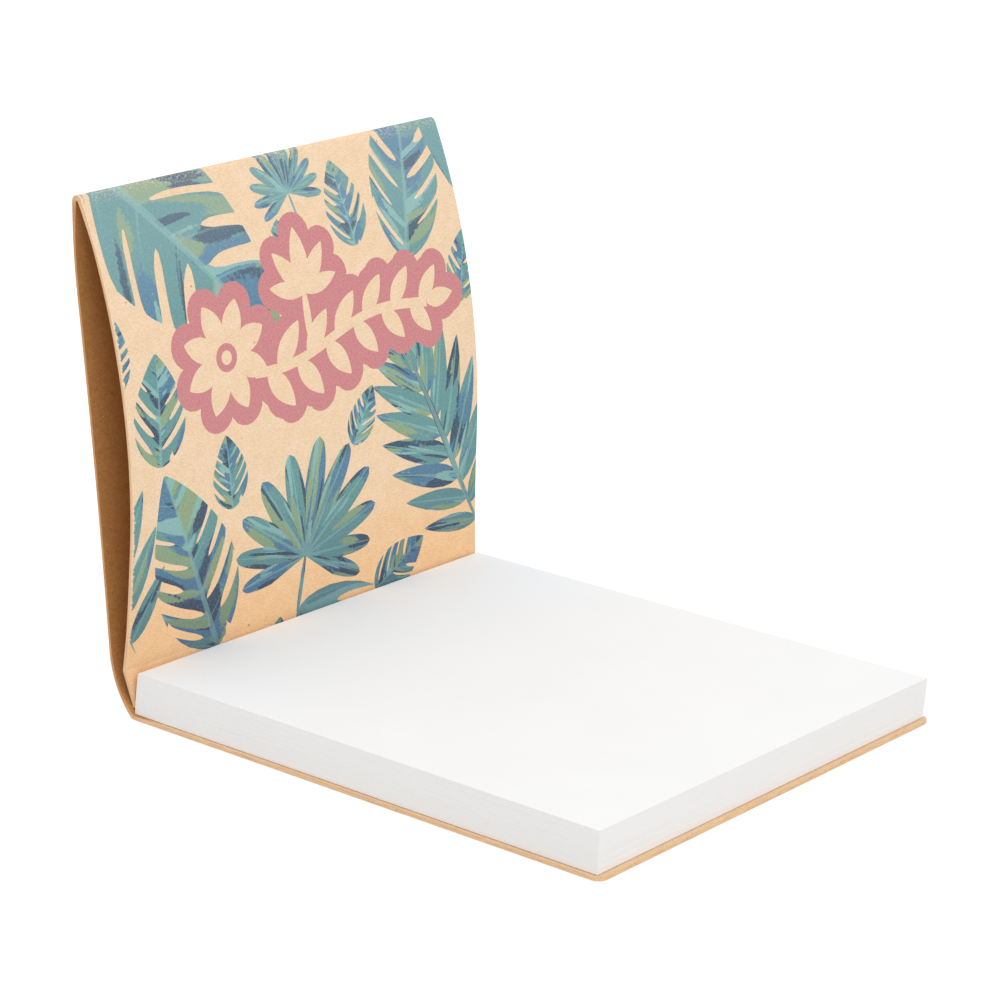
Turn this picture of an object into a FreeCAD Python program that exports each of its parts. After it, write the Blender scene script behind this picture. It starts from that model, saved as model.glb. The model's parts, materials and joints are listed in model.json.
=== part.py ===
"""Sticky note pad with a folded card cover.

Millimetres, +Z up. The origin is on the cover's underside, below the middle of the note block.
X runs along the spine, +Y points to the spine and -Y to the open front of the notes.

One sheet of card makes the cover. It starts under the notes, folds up round the spine,
stands up as the rear layer, folds over at the top and comes down as the front layer.
A crease level with the top of the notes is the hinge on which the standing flap closes,
so the sheet is cut at that height into the base, the flap and the tail behind the notes.
"""
import FreeCAD, Part
import os
from math import atan2, cos, radians, sin, sqrt

import Sketcher

Vector = FreeCAD.Vector

SIZES = [
    ("note_width", 76.0, "notes, along the spine"),
    ("note_depth", 90.0, "notes, from the spine to the open front"),
    ("note_height", 6.3, "stack of notes"),
    ("card_thickness", 0.6, "card of the cover"),
    ("side_overhang", 1.0, "card past the notes on each side"),
    ("front_overhang", 0.9, "card past the notes at the open front"),
    ("corner_radius", 1.6, "rounded front corners of the base"),
    ("heel_radius", 0.6, "sharp fold under the spine, middle of the card"),
    ("spine_radius", 15.0, "slow bend up behind the spine, middle of the card"),
    ("spine_gap", 4.3, "from the notes to the end of the slow bend, middle of the card"),
    ("rear_lean", 5.0, "degrees that the rear layer leans back"),
    ("top_bend", 6.5, "degrees that the rear layer bends forward below the top fold"),
    ("top_radius", 132.0, "radius of that bend, middle of the card"),
    ("fold_radius", 0.7, "top fold, middle of the card"),
    ("flap_height", 79.0, "from the table to the top of the fold"),
    ("front_lean", 4.0, "degrees that the foot of the front layer leans over the notes"),
    ("foot_length", 20.0, "straight foot of the front layer, below its bow"),
    ("crease_offset", 0.95, "from the notes' spine face to the crease, middle of the card"),
    ("crease_lift", 0.5, "crease above the top of the notes"),
    ("flap_clearance", 0.15, "flap's cut edge above the crease"),
    ("base_clearance", 0.45, "cut edges of base and tail below the crease"),
    ("tail_lift", 0.65, "tail's lower edge above the base card"),
    ("cutter_margin", 5.0, "how far the cutting blocks stand past the card"),
]

DERIVED = [
    ("card_width", "=note_width + 2 * side_overhang", "card, along the spine"),
    ("spine_face", "=note_depth / 2", "y of the notes' spine face"),
    ("front_edge", "=spine_face + front_overhang", "distance of the card's front edge"),
    ("mid_card", "=card_thickness / 2", "z of the middle of the base card"),
    ("crease_place", "=spine_face + crease_offset", "y of the crease"),
    ("crease_height", "=card_thickness + note_height + crease_lift", "z of the crease"),
    ("fold_centre", "=flap_height - fold_radius - mid_card", "z of the top fold's centre"),
    ("tail_foot", "=card_thickness + tail_lift", "z of the tail's lower edge"),
    ("tail_rise", "=crease_height - base_clearance - tail_foot", "height of the tail"),
    ("tail_run", "=crease_offset - mid_card", "how far the tail leans back"),
]


def make_sheet(doc):
    """Write the driving sizes, and the sizes that follow from them, into a spreadsheet."""
    sheet = doc.addObject("Spreadsheet::Sheet", "sizes")
    for row, (alias, value, note) in enumerate(SIZES + DERIVED, start=1):
        sheet.set(f"A{row}", str(value))
        sheet.setAlias(f"A{row}", alias)
        sheet.set(f"B{row}", note)
    doc.recompute()
    return sheet


def origin_plane(body, role):
    """Return one of the body's own origin planes."""
    return next(item for item in body.Origin.OriginFeatures if item.Role == role)


def make_body(doc, name):
    body = doc.addObject("PartDesign::Body", name)
    body.Label = name
    return body


def make_sketch(body, name, role):
    sketch = body.newObject("Sketcher::SketchObject", name)
    sketch.AttachmentSupport = [(origin_plane(body, role), "")]
    sketch.MapMode = "FlatFace"
    return sketch


def constrain(sketch, name, expression, *constraint):
    """Add one dimension and bind it to the spreadsheet."""
    index = sketch.addConstraint(Sketcher.Constraint(*constraint))
    sketch.renameConstraint(index, name)
    sketch.setExpression(f"Constraints.{name}", expression)


def rectangle(sketch, low, high):
    """Draw a closed rectangle between two corners, with its sides square to the axes."""
    corners = [low, Vector(high.x, low.y), high, Vector(low.x, high.y)]
    for corner, following in zip(corners, corners[1:] + corners[:1]):
        sketch.addGeometry(Part.LineSegment(corner, following))
    for side in range(4):
        sketch.addConstraint(Sketcher.Constraint("Coincident", side, 2, (side + 1) % 4, 1))
    for side in (0, 2):
        sketch.addConstraint(Sketcher.Constraint("Horizontal", side))
    for side in (1, 3):
        sketch.addConstraint(Sketcher.Constraint("Vertical", side))


def make_note_block(doc, sizes):
    """Pad the stack of notes up from the top of the base card."""
    body = make_body(doc, "note_block")
    sketch = make_sketch(body, "note_outline", "XY_Plane")
    half_width = sizes.note_width / 2
    half_depth = sizes.note_depth / 2
    rectangle(sketch, Vector(-half_width, -half_depth), Vector(half_width, half_depth))
    constrain(sketch, "width", "sizes.note_width", "DistanceX", 0, 1, 0, 2, sizes.note_width)
    constrain(sketch, "depth", "sizes.note_depth", "DistanceY", 1, 1, 1, 2, sizes.note_depth)
    sketch.addConstraint(Sketcher.Constraint("Symmetric", 0, 1, 1, 2, -1, 1))
    sketch.setExpression("AttachmentOffset.Base.z", "sizes.card_thickness")
    pad = body.newObject("PartDesign::Pad", "note_stack")
    pad.Profile = sketch
    pad.setExpression("Length", "sizes.note_height")
    return body


def direction(angle):
    return Vector(cos(angle), sin(angle))


def arc(centre, start, end):
    """Arc that turns anticlockwise about the centre from one point to the other."""
    radius = (start - centre).Length
    angles = [atan2(point.y - centre.y, point.x - centre.x) for point in (start, end)]
    return Part.ArcOfCircle(Part.Circle(centre, Vector(0, 0, 1), radius), *angles)


def sheet_outline(sizes):
    """Lay out the middle line of the card in the plane across the spine, front edge first."""
    lean = radians(sizes.rear_lean)
    top_lean = radians(sizes.rear_lean - sizes.top_bend)
    foot_lean = radians(sizes.front_lean)
    front = Vector(-sizes.front_edge, sizes.mid_card)
    heel_start = Vector(sizes.spine_face, sizes.mid_card)
    heel_centre = heel_start + Vector(0, sizes.heel_radius)

    heel_sine = sizes.spine_radius * cos(lean) - sizes.spine_gap
    heel_sine = heel_sine / (sizes.spine_radius - sizes.heel_radius)
    heel_normal = Vector(heel_sine, -sqrt(1 - heel_sine ** 2))
    heel_end = heel_centre + heel_normal * sizes.heel_radius
    spine_centre = heel_end - heel_normal * sizes.spine_radius
    rear_normal = direction(-lean)
    rear_foot = spine_centre + rear_normal * sizes.spine_radius

    top_normal = direction(-top_lean)
    top_shift = top_normal * (sizes.top_radius - sizes.fold_radius) - rear_normal * sizes.top_radius
    rear_rise = sizes.fold_centre - top_shift.y - rear_foot.y
    top_start = rear_foot + Vector(sin(lean), cos(lean)) * (rear_rise / cos(lean))
    fold = top_start + top_shift
    top_end = fold + top_normal * sizes.fold_radius
    top_centre = top_start - rear_normal * sizes.top_radius

    crease = Vector(sizes.crease_place, sizes.crease_height)
    bow_end = crease + Vector(-sin(foot_lean), cos(foot_lean)) * sizes.foot_length
    front_normal = direction(foot_lean)
    to_fold = fold - bow_end
    bow_radius = to_fold.Length ** 2 - sizes.fold_radius ** 2
    bow_radius = bow_radius / (to_fold.dot(front_normal) - sizes.fold_radius) / 2
    bow_centre = bow_end + front_normal * bow_radius
    bow_start = fold + (fold - bow_centre).normalize() * sizes.fold_radius

    return [
        Part.LineSegment(front, heel_start),
        arc(heel_centre, heel_start, heel_end),
        arc(spine_centre, heel_end, rear_foot),
        Part.LineSegment(rear_foot, top_start),
        arc(top_centre, top_start, top_end),
        arc(fold, top_end, bow_start),
        arc(bow_centre, bow_start, bow_end),
        Part.LineSegment(bow_end, crease),
    ]


def make_folded_sheet(doc, sizes):
    """Sweep the card's section along its folded middle line."""
    body = make_body(doc, "folded_sheet")
    path = make_sketch(body, "fold_line", "YZ_Plane")
    pieces = sheet_outline(sizes)
    base, heel, spine, rear, top, fold, bow, foot = range(len(pieces))
    for piece in pieces:
        path.addGeometry(piece)
    for edge in range(len(pieces) - 1):
        path.addConstraint(Sketcher.Constraint("Tangent", edge, 2, edge + 1, 1))
    path.addConstraint(Sketcher.Constraint("Horizontal", base))
    constrain(path, "front_edge", "sizes.front_edge",
              "DistanceX", base, 1, -1, 1, sizes.front_edge)
    constrain(path, "mid_card", "sizes.mid_card", "DistanceY", -1, 1, base, 1, sizes.mid_card)
    constrain(path, "heel_start", "sizes.spine_face",
              "DistanceX", -1, 1, base, 2, sizes.spine_face)
    constrain(path, "rear_foot", "sizes.spine_face + sizes.spine_gap",
              "DistanceX", -1, 1, rear, 1, sizes.spine_face + sizes.spine_gap)
    constrain(path, "rear_angle", "(90 - sizes.rear_lean) * 1 deg",
              "Angle", rear, radians(90 - sizes.rear_lean))
    constrain(path, "foot_angle", "(sizes.front_lean - 90) * 1 deg",
              "Angle", foot, radians(sizes.front_lean - 90))
    constrain(path, "top_bend", "sizes.top_bend * 1 deg",
              "Angle", top, radians(sizes.top_bend))
    constrain(path, "foot_length", "sizes.foot_length", "Distance", foot, sizes.foot_length)
    constrain(path, "fold_centre", "sizes.fold_centre",
              "DistanceY", -1, 1, fold, 3, sizes.fold_centre)
    constrain(path, "crease_place", "sizes.crease_place",
              "DistanceX", -1, 1, foot, 2, sizes.crease_place)
    constrain(path, "crease_height", "sizes.crease_height",
              "DistanceY", -1, 1, foot, 2, sizes.crease_height)
    for edge, radius in ((heel, "heel_radius"), (spine, "spine_radius"), (top, "top_radius"),
                         (fold, "fold_radius")):
        constrain(path, radius, f"sizes.{radius}", "Radius", edge, getattr(sizes, radius))

    section = make_sketch(body, "card_section", "XZ_Plane")
    section.setExpression("AttachmentOffset.Base.z", "sizes.front_edge")
    half_width = sizes.card_width / 2
    rectangle(section, Vector(-half_width, 0), Vector(half_width, sizes.card_thickness))
    constrain(section, "width", "sizes.card_width", "DistanceX", 0, 1, 0, 2, sizes.card_width)
    constrain(section, "half_width", "sizes.card_width / 2",
              "DistanceX", 0, 1, -1, 1, half_width)
    constrain(section, "thickness", "sizes.card_thickness",
              "DistanceY", 1, 1, 1, 2, sizes.card_thickness)
    section.addConstraint(Sketcher.Constraint("PointOnObject", 0, 1, -1))
    sweep = body.newObject("PartDesign::AdditivePipe", "card_sweep")
    sweep.Profile = section
    sweep.Spine = (path, [f"Edge{number}" for number in range(1, len(pieces) + 1)])
    doc.recompute()

    rounding = body.newObject("PartDesign::Fillet", "front_corners")
    rounding.Base = (sweep, front_corner_edges(sweep.Shape, sizes))
    rounding.setExpression("Radius", "sizes.corner_radius")
    return body


def front_corner_edges(shape, sizes):
    """Name the short upright edges at the two front corners of the base."""
    names = []
    for number, edge in enumerate(shape.Edges, start=1):
        box = edge.BoundBox
        upright = box.ZLength > sizes.card_thickness / 2 and box.XLength < sizes.mid_card
        if upright and box.YMax < -sizes.front_edge + sizes.mid_card:
            names.append(f"Edge{number}")
    return names


def cutting_block(doc, name, bottom, height):
    """Make a block wider than the card that keeps one range of heights."""
    block = doc.addObject("Part::Box", name)
    block.setExpression("Length", "sizes.card_width + 2 * sizes.cutter_margin")
    block.setExpression("Width", "2 * sizes.front_edge + sizes.flap_height")
    block.setExpression("Height", height)
    block.setExpression("Placement.Base.x", "-sizes.card_width / 2 - sizes.cutter_margin")
    block.setExpression("Placement.Base.y", "-sizes.front_edge - sizes.cutter_margin")
    block.setExpression("Placement.Base.z", bottom)
    return block


def keep_part(doc, name, card, block):
    """Keep the stretch of the folded card that lies inside a cutting block."""
    kept = doc.addObject("Part::Common", name)
    kept.Label = name
    kept.Base = card
    kept.Tool = block
    return kept


def make_tail(doc):
    """Stand the end of the front layer behind the notes, leaning back to the crease."""
    tail = doc.addObject("Part::Box", "cover_tail")
    tail.Label = "cover_tail"
    tail.setExpression("Length", "sizes.card_width")
    tail.setExpression("Width", "sizes.card_thickness")
    tail.setExpression("Height", "sqrt(sizes.tail_rise ^ 2 + sizes.tail_run ^ 2)")
    tail.Placement.Rotation = FreeCAD.Rotation(Vector(-1, 0, 0), 1)
    tail.setExpression("Placement.Rotation.Angle", "atan2(sizes.tail_run; sizes.tail_rise)")
    tail.setExpression("Placement.Base.x", "-sizes.card_width / 2")
    tail.setExpression("Placement.Base.y", "sizes.spine_face")
    tail.setExpression("Placement.Base.z", "sizes.tail_foot")
    return tail


def check_and_export(doc, parts):
    """Stop on any failed object or bad shape, then write one STEP file for each part."""
    for item in doc.Objects:
        if "Invalid" in item.State or "Error" in item.State:
            raise RuntimeError(f"{item.Name} failed: {item.State}")
    os.makedirs("parts", exist_ok=True)
    for part in parts:
        shape = part.Shape
        if shape.isNull() or not shape.isValid() or len(shape.Solids) != 1:
            raise RuntimeError(f"{part.Label} has no single valid solid")
        shape.exportStep(f"parts/{part.Label}.step")
        print(part.Label, "volume", round(shape.Volume, 2))


def main():
    doc = FreeCAD.newDocument("sticky_note_pad")
    sizes = make_sheet(doc)
    note_block = make_note_block(doc, sizes)
    card = make_folded_sheet(doc, sizes)
    below = cutting_block(doc, "below_crease", "-sizes.cutter_margin",
                          "sizes.crease_height - sizes.base_clearance + sizes.cutter_margin")
    above = cutting_block(doc, "above_crease", "sizes.crease_height + sizes.flap_clearance",
                          "sizes.flap_height + sizes.cutter_margin")
    base = keep_part(doc, "cover_base", card, below)
    flap = keep_part(doc, "cover_flap", card, above)
    tail = make_tail(doc)
    doc.recompute()
    check_and_export(doc, [note_block, base, flap, tail])


main()
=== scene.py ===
"""Looks of the sticky note pad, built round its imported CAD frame.

Sizes are millimetres in the part's own frame and meshes are made in metres. The card is one
sheet laid out flat: x runs along the spine, and t is the distance up the printed side from
the crease beside the notes, over the top fold, down the back and under the notes.
"""

import json
from collections import namedtuple
from math import asin, atan2, cos, pi, radians, sin

import bpy
import numpy as np
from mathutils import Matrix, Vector, geometry


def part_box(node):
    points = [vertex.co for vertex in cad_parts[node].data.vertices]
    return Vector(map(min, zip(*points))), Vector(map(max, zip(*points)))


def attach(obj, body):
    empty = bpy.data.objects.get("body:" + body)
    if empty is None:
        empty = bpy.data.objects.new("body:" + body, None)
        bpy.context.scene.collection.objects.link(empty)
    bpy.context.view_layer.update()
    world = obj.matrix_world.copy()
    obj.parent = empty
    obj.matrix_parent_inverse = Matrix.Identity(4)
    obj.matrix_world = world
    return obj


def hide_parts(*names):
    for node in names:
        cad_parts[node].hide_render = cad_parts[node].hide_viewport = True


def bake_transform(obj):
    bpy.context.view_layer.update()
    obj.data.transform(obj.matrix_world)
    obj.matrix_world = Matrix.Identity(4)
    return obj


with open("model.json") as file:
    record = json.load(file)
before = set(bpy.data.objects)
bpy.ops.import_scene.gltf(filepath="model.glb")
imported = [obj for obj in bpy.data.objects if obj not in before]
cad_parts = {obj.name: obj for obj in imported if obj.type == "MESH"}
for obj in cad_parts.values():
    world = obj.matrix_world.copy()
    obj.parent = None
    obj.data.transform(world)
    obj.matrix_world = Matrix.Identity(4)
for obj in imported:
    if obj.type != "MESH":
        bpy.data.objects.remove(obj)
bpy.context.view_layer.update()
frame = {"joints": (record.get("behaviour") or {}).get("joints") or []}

MM = 0.001
note_low, note_high = (np.array(corner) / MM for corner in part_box("note_block"))
hinge = frame["joints"][0]["pos_m"]

# The card, as in the part's source: its margins stand out past the notes.
CARD = float(note_low[2])
MIDDLE = CARD / 2
SIDE_MARGIN = 1.0
FRONT_MARGIN = 0.9
HALF_WIDTH = float(note_high[0]) + SIDE_MARGIN
SPINE_FACE = float(note_high[1])
FRONT_EDGE = SPINE_FACE + FRONT_MARGIN
CORNER_RADIUS = 1.6
HEEL_RADIUS = 0.6
SPINE_RADIUS = 15.0
SPINE_GAP = 4.3
REAR_LEAN = 5.0
TOP_BEND = 6.5
TOP_RADIUS = 132.0
FOLD_RADIUS = 0.7
FOLD_HEIGHT = 78.0
FRONT_LEAN = 4.0
FOOT_LENGTH = 20.0
CREASE = np.array(hinge[1:]) / MM
CREASE_RADIUS = 1.2
TAIL_LEAN = 6.5

# Where it differs from the solid: its tail is a little shorter and narrows towards its end,
# and the heel's fold lies this much closer to the notes.
TAIL_LENGTH = 5.8
TAIL_TAPER = 0.8
HEEL_SHIFT = 0.3

# How the real card departs from straight: it is skewed and bowed a little across its width.
CREASE_SKEW = 0.45
FRONT_TWIST = 1.3
FRONT_TWIST_RISE = 13.0
REAR_TWIST = 0.85
REAR_BELLY = 0.4
REAR_BELLY_FOOT = 9.0
REAR_BELLY_RISE = 60.0

# How far the bare side lies from the middle of the card, as a share of half its thickness:
# along the standing layers, and in the fold at the top, which is pressed almost shut.
FLAP_SHARE = 0.45
FOLD_SHARE = 1.6

# The notes: the stack leans sideways from its bottom to its top and turns a little, in
# degrees, and its sheets stand out a little unevenly. Its lowest sheet is set back where it
# is stuck to the card, and all of them stay clear of the card behind them.
SHEET = 0.1
STACK_SHIFT = (-0.15, 0.05)
STACK_SLIP = (0.7, -0.15)
STACK_TURN = (0.0, -0.26)
STACK_SPREAD = 0.3
STACK_SWELL = 0.1
SHEET_PLAY = 0.008
SET_BACK = 0.35
BACK_CLEARANCE = 0.05

# How far from the middle of the top fold the ink is rubbed.
FOLD_WEAR = 2.6

# Edges sharper than this, in degrees, stay crisp.
SHARP_EDGE = 40

# The print repeats every REPEAT upwards, moved along by half a width each time.
REPEAT = 82.0


def ahead(heading):
    return np.array([cos(heading), sin(heading)])


def outward(heading):
    """Normal on the printed side of the card, which is to the right of the way it runs."""
    return np.array([sin(heading), -cos(heading)])


def arc_step(radius, start, end):
    return radius * (outward(end) - outward(start))


def card_stretches():
    """Length and turn of each stretch of the card's middle line, front edge first."""
    rear = radians(90 - REAR_LEAN)
    top = rear + radians(TOP_BEND)
    foot = radians(270 + FRONT_LEAN)
    gap = SPINE_GAP + HEEL_SHIFT
    heel = asin((SPINE_RADIUS * sin(rear) - gap) / (SPINE_RADIUS - HEEL_RADIUS))
    rear_foot = np.array([SPINE_FACE - HEEL_SHIFT, MIDDLE]) + arc_step(HEEL_RADIUS, 0, heel)
    rear_foot = rear_foot + arc_step(SPINE_RADIUS, heel, rear)
    to_fold = arc_step(TOP_RADIUS, rear, top) - outward(top) * FOLD_RADIUS
    rear_length = (FOLD_HEIGHT - rear_foot[1] - to_fold[1]) / sin(rear)
    fold = rear_foot + ahead(rear) * rear_length + to_fold

    bow_end = CREASE - ahead(foot) * FOOT_LENGTH
    rise = fold - bow_end
    bow_radius = (rise @ rise - FOLD_RADIUS ** 2) / (-rise @ outward(foot) - FOLD_RADIUS) / 2
    from_centre = rise + outward(foot) * bow_radius
    bow = atan2(from_centre[0], -from_centre[1]) % (2 * pi)
    crease_turn = radians(FRONT_LEAN + TAIL_LEAN)
    return {
        "base": (FRONT_EDGE + SPINE_FACE - HEEL_SHIFT, 0.0),
        "heel": (HEEL_RADIUS * heel, heel),
        "spine": (SPINE_RADIUS * (rear - heel), rear - heel),
        "rear": (rear_length, 0.0),
        "top": (TOP_RADIUS * (top - rear), top - rear),
        "fold": (FOLD_RADIUS * (bow - top), bow - top),
        "bow": (bow_radius * (foot - bow), foot - bow),
        "foot": (FOOT_LENGTH - CREASE_RADIUS * crease_turn / 2, 0.0),
        "crease": (CREASE_RADIUS * crease_turn, -crease_turn),
        "tail": (TAIL_LENGTH, 0.0),
    }


# Where the stretches start and end, measured from the card's front edge.
STRETCHES = card_stretches()
ENDS = np.cumsum([length for length, turn in STRETCHES.values()])
STARTS = dict(zip(STRETCHES, np.concatenate([[0.0], ENDS[:-1]])))
CREASE_RUN = STARTS["crease"] + STRETCHES["crease"][0] / 2

# Places on the flat sheet, as distances t from the crease.
TAIL_END = CREASE_RUN - ENDS[-1]
FRONT_TOP = CREASE_RUN - STARTS["bow"]
FOLD_TOP = FRONT_TOP + STRETCHES["fold"][0] / 2
BASE_START = CREASE_RUN - STARTS["heel"]
BASE_END = CREASE_RUN

# Points come back from the triangulation in single precision, up to this much off.
ROUNDING = 1e-4


def middle_line(run):
    """Place (y, z) and heading of the middle line, at distances from the card's front edge."""
    place = np.zeros((len(run), 2))
    heading = np.zeros(len(run))
    point = np.array([-FRONT_EDGE, MIDDLE])
    angle = 0.0
    for (length, turn), end in zip(STRETCHES.values(), ENDS):
        here = run >= end - length - ROUNDING
        along = run[here] - (end - length)
        bend = turn / length
        if turn:
            angles = angle + bend * along
            place[here] = point + np.column_stack([np.sin(angles) - sin(angle),
                                                   cos(angle) - np.cos(angles)]) / bend
            heading[here] = angles
            point = point + (outward(angle + turn) - outward(angle)) / bend
        else:
            place[here] = point + along[:, None] * ahead(angle)
            heading[here] = angle
            point = point + length * ahead(angle)
        angle += turn
    return place, heading


def skew(x, t, z):
    """How far back the real card stands from its straight form."""
    across = x / HALF_WIDTH
    front = -CREASE_SKEW + FRONT_TWIST * (1 - np.exp(-np.maximum(t, 0) / FRONT_TWIST_RISE))
    front = np.where(t < 0, -CREASE_SKEW * (1 - t / TAIL_END), front)
    up = np.clip((z - REAR_BELLY_FOOT) / REAR_BELLY_RISE, 0, 1)
    belly = REAR_BELLY * np.sin(pi * up) * (1 - across) / 2
    rear = REAR_TWIST * across * z / FOLD_HEIGHT - belly
    return np.where(t < FRONT_TOP, across * front, np.where(t < BASE_START, rear, 0.0))


def bare_side_share(t):
    """The bare side's distance from the middle of the card, as a share of half its thickness."""
    places = [0.0, 6.0, FOLD_TOP - 7, FOLD_TOP - 0.8, FOLD_TOP + 0.8, FOLD_TOP + 7,
              BASE_START - 12, BASE_START - 2]
    shares = [1.0, FLAP_SHARE, FLAP_SHARE, FOLD_SHARE, FOLD_SHARE, FLAP_SHARE, FLAP_SHARE, 1.0]
    return np.interp(t, places, shares)


def card_point(flat, side):
    """Points in the room for flat points (x, t); side is +1 printed, -1 bare."""
    x, t = flat[:, 0], flat[:, 1]
    place, heading = middle_line(CREASE_RUN - t)
    normal = np.column_stack([np.sin(heading), -np.cos(heading)])
    share = 1.0 if side > 0 else bare_side_share(t)[:, None]
    place = place + normal * side * share * MIDDLE
    return np.column_stack([x, place[:, 0] + skew(x, t, place[:, 1]), place[:, 1]])


# Side veins leave a leaf's midrib at a slope and curl towards its tip.
VEIN_SLOPE = 0.55
VEIN_CURL = 1.5

# How blunt a leaf's ends are, and how a long leaf's width is spread along it.
BLADE_ROUNDNESS = 0.8
BLADE_FULLNESS = 0.75

# How much wider a slit gets at the leaf's edge, as a share of the leaf's length.
SLIT_MOUTH = 0.016
SLIT_POINTS = 12

# The fan leaf's rays, over how many degrees they spread, and how far they are joined.
FAN_RAYS = 11
FAN_SPREAD = 236
FAN_SPLIT = 0.56

# The frond's pairs of leaflets, and the length of one as a share of the frond's.
FROND_PAIRS = 8
FROND_REACH = 0.34

CIRCLE_POINTS = 20

Shape = namedtuple("Shape", "kind outline gaps origin axis length seed")


def half_width(along, width, fullness):
    """Half the width of a leaf of unit length, at shares of its length."""
    return width * np.sin(pi * np.clip(along, 0, 1) ** fullness) ** BLADE_ROUNDNESS


def mirrored(right):
    """Close an outline given from foot to tip on one side of its axis."""
    return np.vstack([right, (right * (1, -1))[-2:0:-1]])


def blade(width, fullness, points=20):
    """Outline of a leaf that runs from (0, 0) to its tip at (1, 0)."""
    along = (1 - np.cos(np.linspace(0, pi, points))) / 2
    return mirrored(np.column_stack([along, half_width(along, width, fullness)]))


def slit(root, near, width, fullness, opening, side):
    """A cut along a side vein, from near the midrib to just past the leaf's edge."""
    steps = np.linspace(0, 2 * width, 200)
    veins = root + VEIN_SLOPE * steps + VEIN_CURL * steps ** 2
    crossed = steps[np.argmax(steps > half_width(veins, width, fullness) * 0.999)]
    out = np.linspace(0, 1, SLIT_POINTS)
    across = near + (max(crossed, near * 1.2) + 0.012 - near) * out
    middle = root + VEIN_SLOPE * across + VEIN_CURL * across ** 2
    rounding = 1 - np.sqrt(1 - np.clip(out / 0.25 - 3, 0, 0.995) ** 2)
    half = opening * (np.minimum(0.55 + 2.2 * out, 1) + 0.3 * out) + SLIT_MOUTH * rounding
    upper = np.column_stack([middle + half * 0.8, across - half * 0.5])
    lower = np.column_stack([middle - half * 0.8, across + half * 0.5])[::-1]
    end = [[middle[0] - 0.6 * opening, near - 0.7 * opening]]
    return np.vstack([upper, lower, end]) * (1, side)


def unit_circle():
    angles = np.arange(CIRCLE_POINTS) * 2 * pi / CIRCLE_POINTS
    return np.column_stack([np.cos(angles), np.sin(angles)])


def leaf_shape(kind, outline, gaps, origin, angle, length, seed):
    """Turn a leaf of unit length to its angle, in degrees, and set it at its place."""
    axis = ahead(radians(angle))
    turn = np.array([axis, [-axis[1], axis[0]]]) * length
    origin = np.array(origin, float)
    return Shape(kind, outline @ turn + origin, [gap @ turn + origin for gap in gaps],
                 origin, axis, length, seed)


def banana_leaf(origin, angle, length, seed, width=0.25, slits=5, opening=0.017):
    """A long leaf, torn along some of its side veins."""
    gaps = []
    for side in (1, -1):
        for number in range(slits):
            root = 0.02 + (number + 0.25 * side) * 0.7 / slits
            near = width * (0.28 + 0.16 * sin(seed + 2.4 * number * side))
            size = opening * (0.9 + 0.4 * cos(seed * 1.7 + number))
            gaps.append(slit(root, near, width, BLADE_FULLNESS, size, side))
    outline = blade(width, BLADE_FULLNESS)
    return [leaf_shape("leaf", outline, gaps, origin, angle, length, seed)]


def oval_leaf(origin, angle, length, seed):
    """A small oval leaf with a few short cuts."""
    return banana_leaf(origin, angle, length, seed, 0.31, 4, 0.02)


def finger(spread):
    """One ray of a fan leaf: a wedge up to the split, which narrows past it to a blunt tip."""
    free = 1 - FAN_SPLIT
    along = np.append(np.linspace(0, FAN_SPLIT, 3), FAN_SPLIT + free * np.linspace(0.1, 1, 10))
    past = np.clip((along - FAN_SPLIT) / free, 0, 1)
    wedge = spread * (np.minimum(along, FAN_SPLIT) * (1 - 0.16 * past))
    half = wedge * np.sqrt(1 - past ** 3.2)
    return mirrored(np.column_stack([along, half]))


def fan_leaf(origin, angle, length, seed):
    """A fan palm leaf: rays that are joined for over half their length, on a stalk."""
    step = FAN_SPREAD / FAN_RAYS
    hub = np.array(origin) + ahead(radians(angle)) * length * 0.36
    ray = finger(sin(radians(step) / 2) * 1.1)
    stalk = leaf_shape("leaflet", blade(0.035, 1.0, 6), [], origin, angle, length * 0.42, seed)
    shapes = [stalk]
    for number in range(FAN_RAYS):
        turn = (number - (FAN_RAYS - 1) / 2) * step
        shorter = 0.19 * abs(turn) / (FAN_SPREAD / 2)
        size = length * (0.64 - shorter + 0.02 * cos(5 * number + seed))
        shapes.append(leaf_shape("leaflet", ray, [], hub, angle + turn, size,
                                 seed + 0.37 * number))
    return shapes


def frond(origin, angle, length, seed):
    """A palm frond: pairs of slim leaflets along a thin rib."""
    axis = ahead(radians(angle))
    shapes = []
    for number in range(FROND_PAIRS):
        share = (number + 0.7) / FROND_PAIRS
        size = length * FROND_REACH * (0.45 + 0.75 * sin(pi * (0.12 + 0.78 * share)))
        for side in (1, -1):
            foot = np.array(origin) + axis * length * (share * 0.88 + 0.015 * side)
            turn = side * (60 - 34 * share)
            shapes.append(leaf_shape("leaflet", blade(0.125, 0.7, 11), [], foot, angle + turn,
                                     size, seed + 0.61 * number + 0.2 * side))
    tip = np.array(origin) + axis * length * 0.84
    last, rib = blade(0.14, 0.7, 11), blade(0.014, 1.0, 8)
    shapes.append(leaf_shape("leaflet", last, [], tip, angle, length * 0.28, seed))
    shapes.append(leaf_shape("leaflet", rib, [], origin, angle, length, seed))
    return shapes


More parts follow.
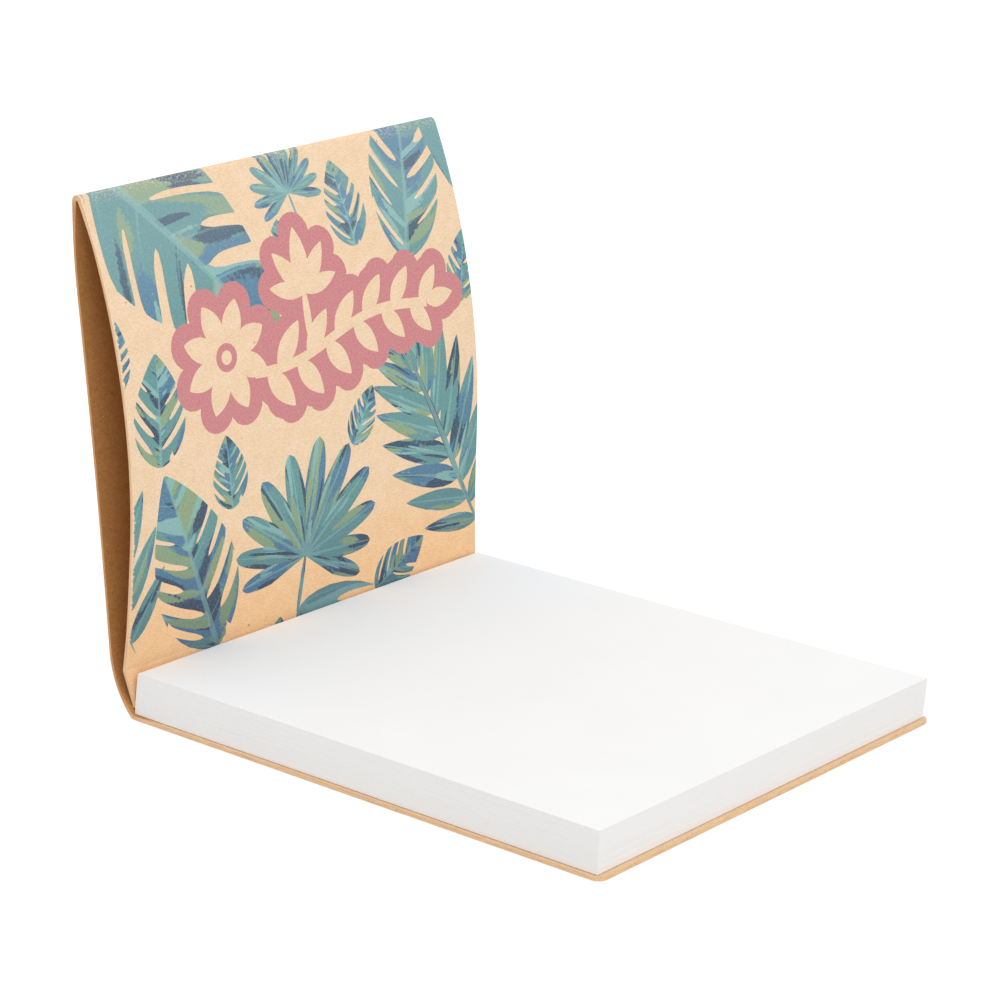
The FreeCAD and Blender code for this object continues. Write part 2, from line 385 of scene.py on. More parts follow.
# One repeat of the print: what grows, where its foot is, which way it points, its length and
# its seed.
PRINT = [
    (banana_leaf, (-41, 83), -48, 54, 1.0),
    (frond, (41, 2), 118, 43, 2.0),
    (banana_leaf, (-20, -1), 112, 33, 3.0),
    (fan_leaf, (-3, -2), 82, 31, 4.0),
    (banana_leaf, (25, 52), 76, 31, 5.0),
    (oval_leaf, (36, 43), 74, 12, 6.0),
    (oval_leaf, (-33, 31), 86, 17, 7.0),
    (oval_leaf, (-18, 21), 96, 12, 8.0),
    (oval_leaf, (9, 25), 62, 10, 9.0),
    (oval_leaf, (14, 56), 96, 14, 10.0),
    (fan_leaf, (3, 61), 100, 15, 12.0),
    (oval_leaf, (-3, 54), 82, 9, 13.0),
    (oval_leaf, (15, -1), 30, 13, 16.0),
]

# The ornament: a bloom, a leafy sprig and a tuft above them, bare on a patch of colour that
# follows their outline at a margin.
BLOOM = (-17.5, 44.5)
BLOOM_PETALS = 8
BLOOM_REACH = 9.0
BLOOM_CENTRE = 2.2
SPRIG_START = np.array([-12.0, 41.5])
SPRIG_END = np.array([28.0, 45.0])
SPRIG_SWAY = 1.4
SPRIG_LEAVES = 6
STEM_HALF = 0.8
TUFT = (1.0, 51.0)
LABEL_MARGIN = 2.8


def sprig_point(share):
    point = SPRIG_START + (SPRIG_END - SPRIG_START) * share
    return point + np.array([0, -SPRIG_SWAY * sin(2 * pi * share + 0.4)])


def ornament():
    """The ornament's leaves: foot, angle, length, half the width as a share, and fullness."""
    leaves = []
    for number in range(BLOOM_PETALS):
        leaves.append((BLOOM, 360 * (number + 0.5) / BLOOM_PETALS, BLOOM_REACH, 0.22, 1.25))
    for number in range(SPRIG_LEAVES):
        share = (number + 0.6) / SPRIG_LEAVES
        for side in (1, -1):
            leaves.append((sprig_point(share + 0.03 * side), side * 50, 8.4 - 0.3 * number,
                           0.22, 0.85))
    leaves.append((sprig_point(1), 5, 6.4, 0.24, 0.85))
    leaves.append((sprig_point(0.32), 90, 11.0, 0.07, 1.0))
    for number in range(-2, 3):
        leaves.append((TUFT, 90 + 38 * number, 10.2 - 1.3 * abs(number), 0.18, 0.9))
    return leaves


def label_shapes():
    leaves = ornament()
    shapes = []
    for foot, angle, length, width, fullness in leaves:
        for share in (0.25, 0.6, 0.9):
            centre = np.array(foot) + ahead(radians(angle)) * length * share
            radius = LABEL_MARGIN + 0.8 * length * float(half_width(share, width, fullness))
            shapes.append(leaf_shape("label", unit_circle(), [], centre, 0, radius, 0))
    stem = np.array([sprig_point(share) for share in np.linspace(0, 1, 25)])
    half = np.array([0, STEM_HALF])
    shapes.append(Shape("bare", np.vstack([stem + half, stem[::-1] - half]), [],
                        stem[0], np.array([1, 0]), 1, 0))
    for foot, angle, length, width, fullness in leaves:
        shapes.append(leaf_shape("bare", blade(width, fullness, 14), [], foot, angle, length, 0))
    for kind, radius in (("label", BLOOM_CENTRE), ("bare", BLOOM_CENTRE / 2)):
        shapes.append(leaf_shape(kind, unit_circle(), [], BLOOM, 0, radius, 0))
    return shapes


def print_shapes():
    """Everything printed on the card, in the order in which it is laid on."""
    shapes = []
    for row in range(-1, 4):
        for grow, (x, t), angle, length, seed in PRINT:
            for wrap in (-2, -1, 0, 1, 2):
                foot = (x + HALF_WIDTH * (row % 2 + 2 * wrap), t + REPEAT * row)
                middle = np.array(foot) + ahead(radians(angle)) * length / 2
                reach = length * 0.6
                beside = abs(middle[0]) > HALF_WIDTH + reach
                above = middle[1] > BASE_END + reach
                if beside or above or middle[1] < TAIL_END - reach:
                    continue
                shapes += grow(foot, angle, length, seed)
    return shapes + label_shapes()


def inside(points, outline):
    """True for the points that lie in a closed outline."""
    found = np.zeros(len(points), bool)
    near = np.all((points > outline.min(0)) & (points < outline.max(0)), axis=1)
    x, y = points[near, 0][:, None], points[near, 1][:, None]
    start, end = outline, np.roll(outline, -1, axis=0)
    crosses = (start[:, 1] > y) != (end[:, 1] > y)
    rise = np.where(end[:, 1] == start[:, 1], 1, end[:, 1] - start[:, 1])
    left = x < (end[:, 0] - start[:, 0]) * (y - start[:, 1]) / rise + start[:, 0]
    found[near] = (crosses & left).sum(1) % 2 == 1
    return found


def card_outline():
    """The sheet laid flat: its front corners rounded, the tail narrower towards its end."""
    low, high = TAIL_END, BASE_END
    corner = np.linspace(0, pi / 2, 6)
    round_corner = np.column_stack([np.cos(corner), np.sin(corner)]) * CORNER_RADIUS
    centre = np.array([HALF_WIDTH - CORNER_RADIUS, high - CORNER_RADIUS])
    tail = [[HALF_WIDTH - TAIL_TAPER, low], [HALF_WIDTH, 0.0]]
    right = np.vstack([tail, centre + round_corner])
    return np.vstack([right, (right * (-1, 1))[::-1]])


# How close together the rows of points are in each stretch: closest where the card bends.
ROW_STEPS = {"base": 5.0, "heel": 0.09, "spine": 0.9, "rear": 2.8, "top": 2.4, "fold": 0.19,
             "bow": 2.2, "foot": 2.2, "crease": 0.08, "tail": 0.6}
STANDING_COLUMNS = 27
BASE_COLUMNS = 17

# Points that are closer than this are joined, and triangles smaller than this are left out.
WELD_DISTANCE = 1e-4
LEAST_AREA = 1e-7


def row_places():
    """Distances t of the rows of points, with more of them on both sides of the hinge, where
    the sheet bends as the flap turns."""
    rows = []
    for name, (length, turn) in STRETCHES.items():
        count = max(2, round(length / ROW_STEPS[name]))
        rows += list(STARTS[name] + length * np.arange(count) / count)
    low_rear = STARTS["rear"] + np.arange(1, 7) * 0.5
    low_foot = CREASE_RUN - np.arange(1, 9) * 0.55
    rows += list(low_rear) + list(low_foot)
    return CREASE_RUN - np.array(sorted(rows + [ENDS[-1]]))


def triangulate(shapes):
    """Split the flat sheet into triangles that follow its rows and every printed outline."""
    points, edges = [], []

    def add_line(line, closed):
        first = len(points)
        points.extend(Vector(point) for point in line)
        count = len(line)
        edges.extend((first + i, first + (i + 1) % count) for i in range(count - (not closed)))

    outline = card_outline()
    add_line(outline, True)
    columns = np.linspace(-HALF_WIDTH, HALF_WIDTH, STANDING_COLUMNS)
    for t in row_places():
        if t <= BASE_START + 1:
            add_line([(x, t) for x in columns], False)
    step = ROW_STEPS["base"]
    for t in np.arange(BASE_START + step, BASE_END - 1, step):
        points.extend(Vector((x, t)) for x in np.linspace(-HALF_WIDTH, HALF_WIDTH, BASE_COLUMNS))
    for shape in shapes:
        for line in [shape.outline] + shape.gaps:
            add_line(line, True)
    flat, _, faces, *_ = geometry.delaunay_2d_cdt(points, edges, [], 0, WELD_DISTANCE)
    flat = np.array([tuple(point) for point in flat])
    faces = np.array([tuple(face) for face in faces])
    corners = flat[faces]
    first, second = corners[:, 1] - corners[:, 0], corners[:, 2] - corners[:, 0]
    area = first[:, 0] * second[:, 1] - first[:, 1] * second[:, 0]
    faces[area < 0] = faces[area < 0][:, ::-1]
    keep = inside(corners.mean(1), outline) & (abs(area) > LEAST_AREA)
    faces = faces[keep]
    used, faces = np.unique(faces, return_inverse=True)
    return flat[used], faces.reshape(-1, 3)


def rim_edges(faces):
    """Edges that belong to one triangle only, each in the order in which that triangle has it."""
    edges = np.vstack([faces[:, [0, 1]], faces[:, [1, 2]], faces[:, [2, 0]]])
    key = np.sort(edges, axis=1)
    _, first, counts = np.unique(key, axis=0, return_index=True, return_counts=True)
    return edges[first[counts == 1]]


def new_object(name, points, faces, materials, indices):
    mesh = bpy.data.meshes.new(name)
    mesh.from_pydata(points * MM, [], faces)
    for material in materials:
        mesh.materials.append(material)
    mesh.polygons.foreach_set("material_index", np.array(indices, np.int32))
    mesh.polygons.foreach_set("use_smooth", np.ones(len(faces), bool))
    mesh.set_sharp_from_angle(angle=radians(SHARP_EDGE))
    mesh.validate()
    made = bpy.data.objects.new(name, mesh)
    bpy.context.scene.collection.objects.link(made)
    return made


def corner_attribute(mesh, name, values):
    attribute = mesh.attributes.new(name, "FLOAT_VECTOR", "CORNER")
    attribute.data.foreach_set("vector", np.asarray(values, np.float32).ravel())


# The cover's materials, in the order of its slots.
SLOTS = {"bare": 0, "leaf": 1, "leaflet": 2, "label": 3, "inner side": 4, "cut edge": 5}


def make_cover(materials):
    """The folded card: printed side, bare side and cut edges, closed all round."""
    shapes = print_shapes()
    flat, triangles = triangulate(shapes)
    centres = flat[triangles].mean(1)
    painted = np.full(len(triangles), -1)
    for number, shape in enumerate(shapes):
        hit = inside(centres, shape.outline)
        for gap in shape.gaps:
            hit &= ~inside(centres, gap)
        painted[hit] = number

    count = len(flat)
    rim = rim_edges(triangles)
    points = np.vstack([card_point(flat, 1), card_point(flat, -1)])
    walls = np.column_stack([rim[:, 1], rim[:, 0], rim[:, 0] + count, rim[:, 1] + count])
    faces = triangles.tolist() + (triangles[:, ::-1] + count).tolist() + walls.tolist()
    front = [SLOTS["bare" if number < 0 else shapes[number].kind] for number in painted]
    indices = front + [SLOTS["inner side"]] * len(triangles) + [SLOTS["cut edge"]] * len(walls)
    cover = new_object("cover", points, faces, materials, indices)

    order = np.concatenate([triangles.ravel(), triangles[:, ::-1].ravel() + count,
                            walls.ravel()])
    depth = (order >= count) * CARD
    sheet = np.column_stack([flat[order % count], depth])
    corner_attribute(cover.data, "sheet", sheet)
    local = np.zeros((len(order), 3))
    for face in np.nonzero(painted >= 0)[0]:
        shape = shapes[painted[face]]
        offset = (flat[triangles[face]] - shape.origin) / shape.length
        along = offset @ shape.axis
        across = offset @ np.array([-shape.axis[1], shape.axis[0]])
        local[3 * face:3 * face + 3] = np.column_stack([along, across, np.full(3, shape.seed)])
    corner_attribute(cover.data, "leaf", local)
    return cover


def make_notes(material):
    """The stack of notes, each sheet set a hair apart from the next."""
    height = note_high[2] - note_low[2]
    count = round(height / SHEET)
    rng = np.random.default_rng(7)
    points, faces = [], []
    for sheet in range(count):
        share = sheet / (count - 1)
        turn = radians(STACK_TURN[0] + (STACK_TURN[1] - STACK_TURN[0]) * share)
        turned = np.array([[cos(turn), sin(turn)], [-sin(turn), cos(turn)]])
        inset = SET_BACK if sheet == 0 else 0.0
        spread = STACK_SPREAD + STACK_SWELL * sin(pi * share) - inset
        low = note_low[:2] + (-spread, inset) + rng.normal(0, SHEET_PLAY, 2)
        high = note_high[:2] + (spread, 0) + rng.normal(0, SHEET_PLAY, 2)
        corners = np.array([low, (high[0], low[1]), high, (low[0], high[1])]) @ turned
        corners = corners + STACK_SHIFT + np.array(STACK_SLIP) * share
        corners[:, 1] = np.minimum(corners[:, 1], note_high[1] - BACK_CLEARANCE)
        for edge in (0, 1):
            z = note_low[2] + height * (sheet + edge) / count
            points += [(x, y, z) for x, y in corners]
    for level in range(2 * count - 1):
        for side in range(4):
            a = 4 * level + side
            b = 4 * level + (side + 1) % 4
            faces.append((a, b, b + 4, a + 4))
    faces.append((3, 2, 1, 0))
    top = 4 * (2 * count - 1)
    faces.append((top, top + 1, top + 2, top + 3))
    return new_object("notes", np.array(points), faces, [material], [0] * len(faces))


def colour(red, green, blue):
    """A colour as a screen shows it, 0 to 255, turned into the renderer's linear values."""
    shown = np.array([red, green, blue]) / 255
    return (*np.where(shown <= 0.04045, shown / 12.92, ((shown + 0.055) / 1.055) ** 2.4), 1.0)


PRINTED_LIGHT = colour(255, 232, 202)
PRINTED_DARK = colour(238, 200, 158)
TEAL = colour(98, 156, 158)
PALE_TEAL = colour(138, 190, 186)
BLUE = colour(78, 132, 164)
GREEN = colour(144, 172, 136)
DEEP_BLUE = colour(42, 82, 110)
DUSTY_PINK = colour(209, 131, 138)

# Between these distances from the crease, card and print darken towards it as painted shade beside
# the notes, and the print pales upwards.
FOOT_SHADE = (23.0, 2.0)
TOP_TONE = (46.0, 66.0)

# What is painted over a leaf's teal, in order: how narrow, above which level, which colour.
LEAF_ZONES = [(2.3, 0.52, BLUE), (5.5, 0.62, DEEP_BLUE), (7.0, 0.60, GREEN),
              (10.0, 0.62, PALE_TEAL), (13.0, 0.67, DEEP_BLUE)]
ZONE_BORDER = 0.011


class Nodes:
    """Short ways to add and link shader nodes in one material."""

    def __init__(self, name):
        self.material = bpy.data.materials.new(name)
        self.material.use_nodes = True
        self.tree = self.material.node_tree
        self.shader = self.tree.nodes["Principled BSDF"]

    def set(self, socket, value):
        if isinstance(value, bpy.types.NodeSocket):
            self.tree.links.new(value, socket)
        else:
            socket.default_value = value

    def add(self, kind, inputs, **settings):
        node = self.tree.nodes.new(kind)
        for name, value in settings.items():
            setattr(node, name, value)
        for key, value in inputs.items():
            self.set(node.inputs[key], value)
        return node

    def math(self, operation, *values):
        inputs = dict(enumerate(values))
        return self.add("ShaderNodeMath", inputs, operation=operation).outputs[0]

    def scaled(self, vector, factors):
        inputs = {0: vector, 1: factors}
        return self.add("ShaderNodeVectorMath", inputs, operation="MULTIPLY").outputs[0]

    def noise(self, vector, scale, detail, roughness=0.5, distortion=0.0):
        inputs = {"Vector": vector, "Scale": scale, "Detail": detail, "Roughness": roughness,
                  "Distortion": distortion}
        return self.add("ShaderNodeTexNoise", inputs).outputs["Fac"]

    def step(self, value, low, high, bottom=0.0, top=1.0):
        """Smooth step from bottom to top as the value goes from low to high."""
        inputs = {"Value": value, "From Min": low, "From Max": high, "To Min": bottom,
                  "To Max": top}
        return self.add("ShaderNodeMapRange", inputs, interpolation_type="SMOOTHSTEP").outputs[0]

    def mix(self, factor, first, second, blend="MIX"):
        node = self.add("ShaderNodeMix", {}, data_type="RGBA", blend_type=blend)
        self.set(node.inputs[0], factor)
        self.set(node.inputs[6], first)
        self.set(node.inputs[7], second)
        return node.outputs[2]

    def ramp(self, factor, stops):
        node = self.add("ShaderNodeValToRGB", {"Fac": factor})
        elements = node.color_ramp.elements
        while len(elements) < len(stops):
            elements.new(0.5)
        for element, (position, shade) in zip(elements, stops):
            element.position = position
            element.color = shade
        return node.outputs[0]

    def attribute(self, name):
        return self.add("ShaderNodeAttribute", {}, attribute_name=name).outputs["Vector"]

    def split(self, vector):
        return self.add("ShaderNodeSeparateXYZ", {"Vector": vector}).outputs

    def finish(self, shade, roughness, height, strength, distance):
        """Colour, roughness, and a bump of the given strength and distance in metres."""
        self.set(self.shader.inputs["Base Color"], shade)
        self.set(self.shader.inputs["Roughness"], roughness)
        self.shader.inputs["Specular IOR Level"].default_value = 0.25
        bump = self.add("ShaderNodeBump", {"Strength": strength, "Distance": distance,
                                           "Height": height})
        self.tree.links.new(bump.outputs[0], self.shader.inputs["Normal"])
        return self.material


def kraft_shade(nodes, light, dark):
    """Kraft card: fine grain, short fibres, faint blotches and a few brown and pale specks."""
    sheet = nodes.attribute("sheet")
    blotch = nodes.noise(sheet, 0.35, 3.0)
    fibre = nodes.noise(nodes.scaled(sheet, (1.2, 3.0, 1.0)), 1.0, 3.0, 0.6, 0.6)
    grain = nodes.noise(sheet, 4.0, 3.0, 0.7)
    tone = nodes.math("ADD", nodes.math("MULTIPLY", blotch, 0.2),
                      nodes.math("ADD", nodes.math("MULTIPLY", fibre, 0.35),
                                 nodes.math("MULTIPLY", grain, 0.9)))
    shade = nodes.ramp(nodes.step(tone, 0.50, 0.95), [(0.0, dark), (1.0, light)])
    for scale, strength, speck_colour in ((0.45, 0.5, colour(130, 92, 60)),
                                          (0.9, 0.35, colour(255, 238, 214))):
        cells = nodes.add("ShaderNodeTexVoronoi", {"Vector": sheet, "Scale": scale})
        wanted = nodes.step(nodes.split(cells.outputs["Color"])[0], 0.70, 0.98)
        size = nodes.math("MULTIPLY", wanted, 0.09)
        inside_speck = nodes.step(nodes.math("SUBTRACT", cells.outputs["Distance"], size),
                                  0.03, 0.0)
        speck = nodes.math("MULTIPLY", inside_speck, nodes.math("MULTIPLY", wanted, strength))
        shade = nodes.mix(speck, shade, speck_colour)
    return sheet, shade, grain, tone


def printed_card(nodes):
    """Card on the printed side: warmer and darker near the crease, as painted shade beside the
    notes.
    """
    sheet, shade, grain, tone = kraft_shade(nodes, PRINTED_LIGHT, PRINTED_DARK)
    # Painted shade: the card is tinted warmer and darker towards the crease beside the notes.
    foot = nodes.step(nodes.split(sheet)[1], *FOOT_SHADE)
    shade = nodes.mix(foot, shade, colour(255, 239, 218), "MULTIPLY")
    return sheet, shade, grain, tone


def ink_cover(nodes, sheet, grain):
    """How much of the card the ink hides: thin in its grain, rubbed at left edge and fold."""
    x, t, _ = nodes.split(sheet)
    ragged = nodes.noise(nodes.scaled(sheet, (0.5, 1.0, 1.0)), 1.6, 3.0, 0.7)
    edge = nodes.math("SUBTRACT", nodes.math("MULTIPLY", ragged, 1.5), x)
    worn = nodes.step(edge, HALF_WIDTH + 0.42, HALF_WIDTH + 0.22)
    thin = nodes.step(grain, 0.80, 0.50, 0.70, 0.97)
    scratch = nodes.noise(nodes.scaled(sheet, (2.0, 0.5, 1.0)), 1.5, 1.0, 0.5, 1.0)
    scratch = nodes.step(scratch, 0.84, 0.80)
    from_fold = nodes.math("ABSOLUTE", nodes.math("SUBTRACT", t, FOLD_TOP))
    rubbed_and_lit = nodes.noise(nodes.scaled(sheet, (0.7, 1.2, 1.0)), 2.6, 3.0, 0.7)
    rubbed_and_lit = nodes.math("MULTIPLY", nodes.step(rubbed_and_lit, 0.48, 0.62),
                        nodes.step(from_fold, FOLD_WEAR, 0.4, 0.0, 0.5))
    whole = nodes.math("MULTIPLY", nodes.math("MULTIPLY", worn, thin), scratch)
    return nodes.math("MULTIPLY", whole, nodes.math("SUBTRACT", 1.0, rubbed_and_lit))


def bare_printed_side():
    nodes = Nodes("kraft_outside")
    _, shade, _, tone = printed_card(nodes)
    return nodes.finish(shade, 0.85, tone, 0.25, 0.00006)


def brushed_zone(nodes, strand, run, seed, ragged, level):
    """1 where a noise drawn out along the strands is above a level, with a brushed border."""
    place = nodes.add("ShaderNodeCombineXYZ", {0: strand, 1: run, 2: seed}).outputs[0]
    zone = nodes.math("ADD", nodes.noise(place, 1.0, 1.0), ragged)
    return nodes.step(zone, level - ZONE_BORDER, level + ZONE_BORDER)


def leaf_ink(name, leaflet):
    """Painted leaf: zones and streaks that follow its side veins, or run along a leaflet."""
    nodes = Nodes(name)
    sheet, card, grain, tone = printed_card(nodes)
    along, across, seed = nodes.split(nodes.attribute("leaf"))
    off = nodes.math("ABSOLUTE", across)
    slope = nodes.math("ADD", nodes.math("MULTIPLY", off, VEIN_CURL), VEIN_SLOPE)
    vein = nodes.math("SUBTRACT", along, nodes.math("MULTIPLY", off, slope))
    side = nodes.math("MULTIPLY", nodes.math("SIGN", across), 3.1)
    if leaflet:
        strand, run = nodes.math("MULTIPLY", across, 1.3), nodes.math("MULTIPLY", along, 0.5)
    else:
        strand, run = vein, nodes.math("ADD", off, side)
    ragged = nodes.math("MULTIPLY", nodes.math("SUBTRACT", nodes.noise(sheet, 1.3, 3.0), 0.5), 0.09)
    painted = TEAL
    for shift, (narrow, level, shade) in enumerate(LEAF_ZONES):
        zone = brushed_zone(nodes, nodes.math("MULTIPLY", strand, narrow),
                            nodes.math("MULTIPLY", run, 2.4),
                            nodes.math("ADD", seed, 7.3 * shift), ragged, level)
        painted = nodes.mix(zone, painted, shade)
    tapered = nodes.math("ADD", off, nodes.math("MULTIPLY", along, 0.012))
    rib = nodes.step(tapered, 0.019, 0.015)
    painted = nodes.mix(nodes.math("MULTIPLY", rib, 0.6), painted, PALE_TEAL)
    if not leaflet:
        lines = nodes.math("PINGPONG", nodes.math("MULTIPLY", vein, 6.0), 0.5)
        lines = nodes.math("MULTIPLY", nodes.step(lines, 0.035, 0.02),
                           nodes.step(off, 0.20, 0.02))
        painted = nodes.mix(nodes.math("MULTIPLY", lines, 0.45), painted, PALE_TEAL)
    mottle = nodes.noise(sheet, 2.4, 4.0, 0.75)
    painted = nodes.mix(nodes.step(mottle, 0.48, 0.80, 0.0, 0.32), painted, colour(186, 200, 180))
    painted = nodes.mix(nodes.step(mottle, 0.52, 0.22, 0.0, 0.32), painted, colour(40, 70, 92))
    t = nodes.split(sheet)[1]
    painted = nodes.mix(nodes.step(t, *TOP_TONE, 0.0, 0.14), painted, colour(200, 226, 238))
    # Painted shade: the print is darkened towards the crease beside the notes.
    painted = nodes.mix(nodes.step(t, *FOOT_SHADE), painted, colour(208, 216, 230), "MULTIPLY")
    shade = nodes.mix(ink_cover(nodes, sheet, grain), card, painted)
    return nodes.finish(shade, 0.7, tone, 0.22, 0.00006)


def label_ink():
    nodes = Nodes("label_ink")
    sheet, card, grain, tone = printed_card(nodes)
    mottle = nodes.noise(sheet, 3.0, 3.0, 0.75)
    pink = nodes.mix(nodes.step(mottle, 0.4, 0.75, 0.0, 0.55), DUSTY_PINK, colour(230, 168, 162))
    pink = nodes.mix(nodes.step(mottle, 0.5, 0.25, 0.0, 0.5), pink, colour(176, 104, 116))
    shade = nodes.mix(ink_cover(nodes, sheet, grain), card, pink)
    return nodes.finish(shade, 0.7, tone, 0.22, 0.00006)


def bare_inner_side():
    """The side without print, painted as a shaded and a lit copy: brown inside the flap, paler
    where it lies in the light beside the notes.
    """
    nodes = Nodes("kraft_inside")
    sheet, shade, _, tone = kraft_shade(nodes, colour(213, 158, 97), colour(188, 129, 70))
    # Painted light: the bare side is made paler on the base, where it lies open to the lamps, than
    # in the shaded flap.
    on_base = nodes.step(nodes.split(sheet)[1], BASE_START + 1, BASE_START + 6)
    rubbed_and_lit = nodes.mix(nodes.step(tone, 0.50, 0.95), colour(226, 188, 146), colour(243, 210, 174))
    shade = nodes.mix(on_base, shade, rubbed_and_lit)
    return nodes.finish(shade, 0.88, tone, 0.35, 0.00008)


def cut_edge():
    """Cut edge of the card: pale with thin plies that run along it, browner on the rear layer."""
    nodes = Nodes("kraft_cut_edge")
    sheet = nodes.attribute("sheet")
    plies = nodes.noise(nodes.scaled(sheet, (0.35, 0.35, 7.0)), 1.0, 3.0, 0.65, 0.2)
    fuzz = nodes.noise(sheet, 4.0, 2.0, 0.7)
    tone = nodes.math("ADD", nodes.math("MULTIPLY", plies, 0.6),
                      nodes.math("MULTIPLY", fuzz, 0.4))
    shade = nodes.ramp(tone, [(0.34, colour(220, 170, 120)), (0.58, colour(251, 214, 172))])
    t = nodes.split(sheet)[1]
    rear = nodes.math("MULTIPLY", nodes.step(t, FRONT_TOP, FOLD_TOP + 2),
                      nodes.step(t, BASE_START + 1, BASE_START - 4))
    shade = nodes.mix(rear, shade, colour(228, 208, 188), "MULTIPLY")
    return nodes.finish(shade, 0.9, tone, 0.5, 0.00008)


def note_paper():
    """Plain paper: faint cloudiness on top, the edges of single sheets on the sides, and a painted
    cool tint on top beside the flap against the card's warm light.
    """
    nodes = Nodes("note_paper")
    place = nodes.add("ShaderNodeTexCoord", {}).outputs["Object"]
    cloud = nodes.noise(place, 90.0, 3.0)
    fuzz = nodes.noise(place, 2600.0, 3.0, 0.6)
    sheets = nodes.noise(nodes.scaled(place, (25.0, 25.0, 9000.0)), 1.0, 2.0, 0.6)
    normal = nodes.split(nodes.add("ShaderNodeNewGeometry", {}).outputs["True Normal"])[2]
    side = nodes.step(nodes.math("ABSOLUTE", normal), 0.6, 0.4)
    streaks = nodes.math("MULTIPLY", nodes.step(sheets, 0.3, 0.6, 1.0, 0.0), side)
    shade = nodes.ramp(cloud, [(0.3, colour(249, 249, 249)), (0.7, colour(251, 251, 251))])
    shade = nodes.mix(nodes.math("MULTIPLY", streaks, 0.12), shade, colour(222, 219, 217))
    shade = nodes.mix(nodes.math("MULTIPLY", side, 0.4), shade, colour(250, 247, 244))
    # Painted light: the top turns cooler towards the flap, to offset the warm light that the kraft
    # card throws on it.
    cool_tint_by_flap = nodes.math("MULTIPLY", nodes.step(nodes.split(place)[1], 0.0, 0.04),
                         nodes.math("SUBTRACT", 1.0, side))
    shade = nodes.mix(cool_tint_by_flap, shade, colour(248, 250, 254))
    height = nodes.math("ADD", nodes.math("MULTIPLY", fuzz, 0.25),
                        nodes.math("MULTIPLY", streaks, 0.8))
    return nodes.finish(shade, 0.8, height, 0.2, 0.00004)


# The camera's place in metres, its lens, and its angles down and to the right in degrees.
CAMERA_PLACE = (-0.34826, -0.29801, 0.17918)
CAMERA_LENS = 117.76
CAMERA_DOWN = 17.511
CAMERA_RIGHT = 48.906

# The floor in metres, and how bright the floor and the surroundings are.
FLOOR_REACH = 4.0
FLOOR_LEVEL = -0.00015
FLOOR_GREY = (0.75, 0.75, 0.75, 1)
SEEN_FLOOR_GREY = (0.35, 0.35, 0.35, 1)
SEEN_FLOOR_GLOW = 0.8
STUDIO_LIGHT = 0.84
LAMP_TARGET = Vector((0, 0, 0.03))


def add_light(name, place, size, power):
    """A soft square lamp that looks at the middle of the pad."""
    data = bpy.data.lights.new(name, "AREA")
    data.size = size
    data.energy = power
    lamp = bpy.data.objects.new(name, data)
    lamp.location = place
    lamp.rotation_euler = (LAMP_TARGET - lamp.location).to_track_quat("-Z", "Y").to_euler()
    bpy.context.scene.collection.objects.link(lamp)


def for_camera(tree, shader, seen):
    """Show the camera one shader and leave the other for the rest of the light."""
    path = tree.nodes.new("ShaderNodeLightPath")
    mixed = tree.nodes.new("ShaderNodeMixShader")
    tree.links.new(path.outputs["Is Camera Ray"], mixed.inputs[0])
    tree.links.new(shader, mixed.inputs[1])
    tree.links.new(seen, mixed.inputs[2])
    return mixed.outputs[0]


def white_light(tree, strength):
    white = tree.nodes.new("ShaderNodeEmission")
    white.inputs["Strength"].default_value = strength
    return white.outputs[0]


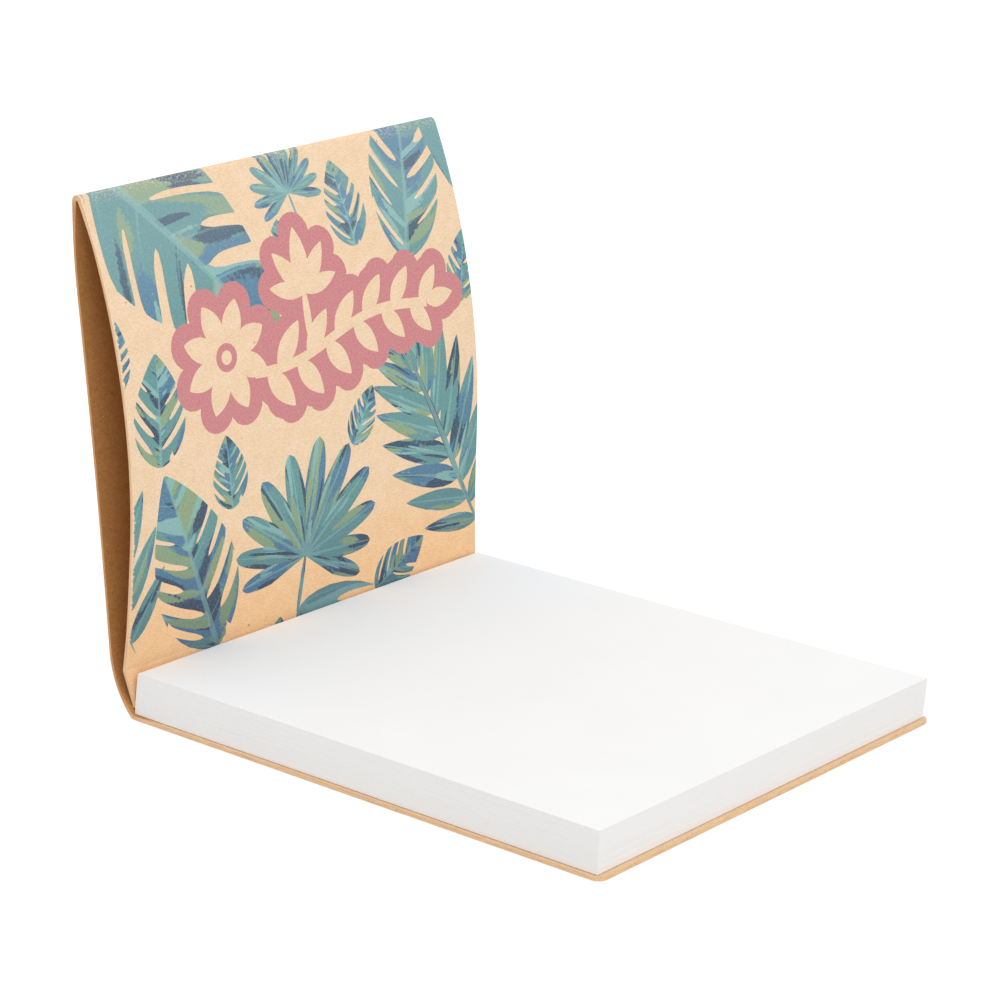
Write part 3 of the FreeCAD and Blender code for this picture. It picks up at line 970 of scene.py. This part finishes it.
def make_floor():
    """Pale floor, which the camera sees as white with the pad's shadow on it."""
    mesh = bpy.data.meshes.new("floor")
    reach = FLOOR_REACH
    corners = [(-reach, -reach), (reach, -reach), (reach, reach), (-reach, reach)]
    mesh.from_pydata([(x, y, FLOOR_LEVEL) for x, y in corners], [], [(0, 1, 2, 3)])
    floor = bpy.data.objects.new("floor", mesh)
    bpy.context.scene.collection.objects.link(floor)
    nodes = Nodes("floor_white")
    nodes.shader.inputs["Base Color"].default_value = FLOOR_GREY
    nodes.shader.inputs["Roughness"].default_value = 0.9
    nodes.shader.inputs["Specular IOR Level"].default_value = 0.0
    shaded = nodes.add("ShaderNodeBsdfDiffuse", {"Color": SEEN_FLOOR_GREY}).outputs[0]
    seen = nodes.add("ShaderNodeAddShader", {}).outputs[0]
    nodes.tree.links.new(shaded, seen.node.inputs[0])
    nodes.tree.links.new(white_light(nodes.tree, SEEN_FLOOR_GLOW), seen.node.inputs[1])
    surface = nodes.tree.nodes["Material Output"].inputs["Surface"]
    nodes.tree.links.new(for_camera(nodes.tree, nodes.shader.outputs[0], seen), surface)
    mesh.materials.append(nodes.material)


def make_studio():
    """Surroundings that are plain white to the camera, and two soft lamps."""
    world = bpy.data.worlds.new("studio")
    bpy.context.scene.world = world
    world.use_nodes = True
    tree = world.node_tree
    soft = tree.nodes["Background"]
    soft.inputs["Color"].default_value = (1, 1, 1, 1)
    soft.inputs["Strength"].default_value = STUDIO_LIGHT
    white = tree.nodes.new("ShaderNodeBackground")
    white.inputs["Color"].default_value = (1, 1, 1, 1)
    seen = for_camera(tree, soft.outputs[0], white.outputs[0])
    tree.links.new(seen, tree.nodes["World Output"].inputs["Surface"])

    add_light("key", (-0.25, -0.75, 1.0), 0.9, 3.05)
    add_light("overhead", (0.1, 0.0, 1.2), 1.0, 0.7)


def make_camera():
    """The photograph's view, on a 36 mm sensor."""
    data = bpy.data.cameras.new("camera")
    data.sensor_width = 36.0
    data.lens = CAMERA_LENS
    data.clip_start = 0.01
    data.clip_end = 20.0
    camera = bpy.data.objects.new("camera", data)
    camera.location = CAMERA_PLACE
    camera.rotation_euler = (radians(90 - CAMERA_DOWN), 0, -radians(CAMERA_RIGHT))
    bpy.context.scene.collection.objects.link(camera)
    bpy.context.scene.camera = camera


bpy.context.scene.view_settings.view_transform = "Standard"
make_floor()
make_studio()
make_camera()

notes = make_notes(note_paper())
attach(notes, "base")
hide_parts("note_block")

cover = make_cover([bare_printed_side(), leaf_ink("leaf_ink", False),
                    leaf_ink("leaflet_ink", True), label_ink(), bare_inner_side(), cut_edge()])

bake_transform(cover)
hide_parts("cover_base", "cover_flap", "cover_tail")
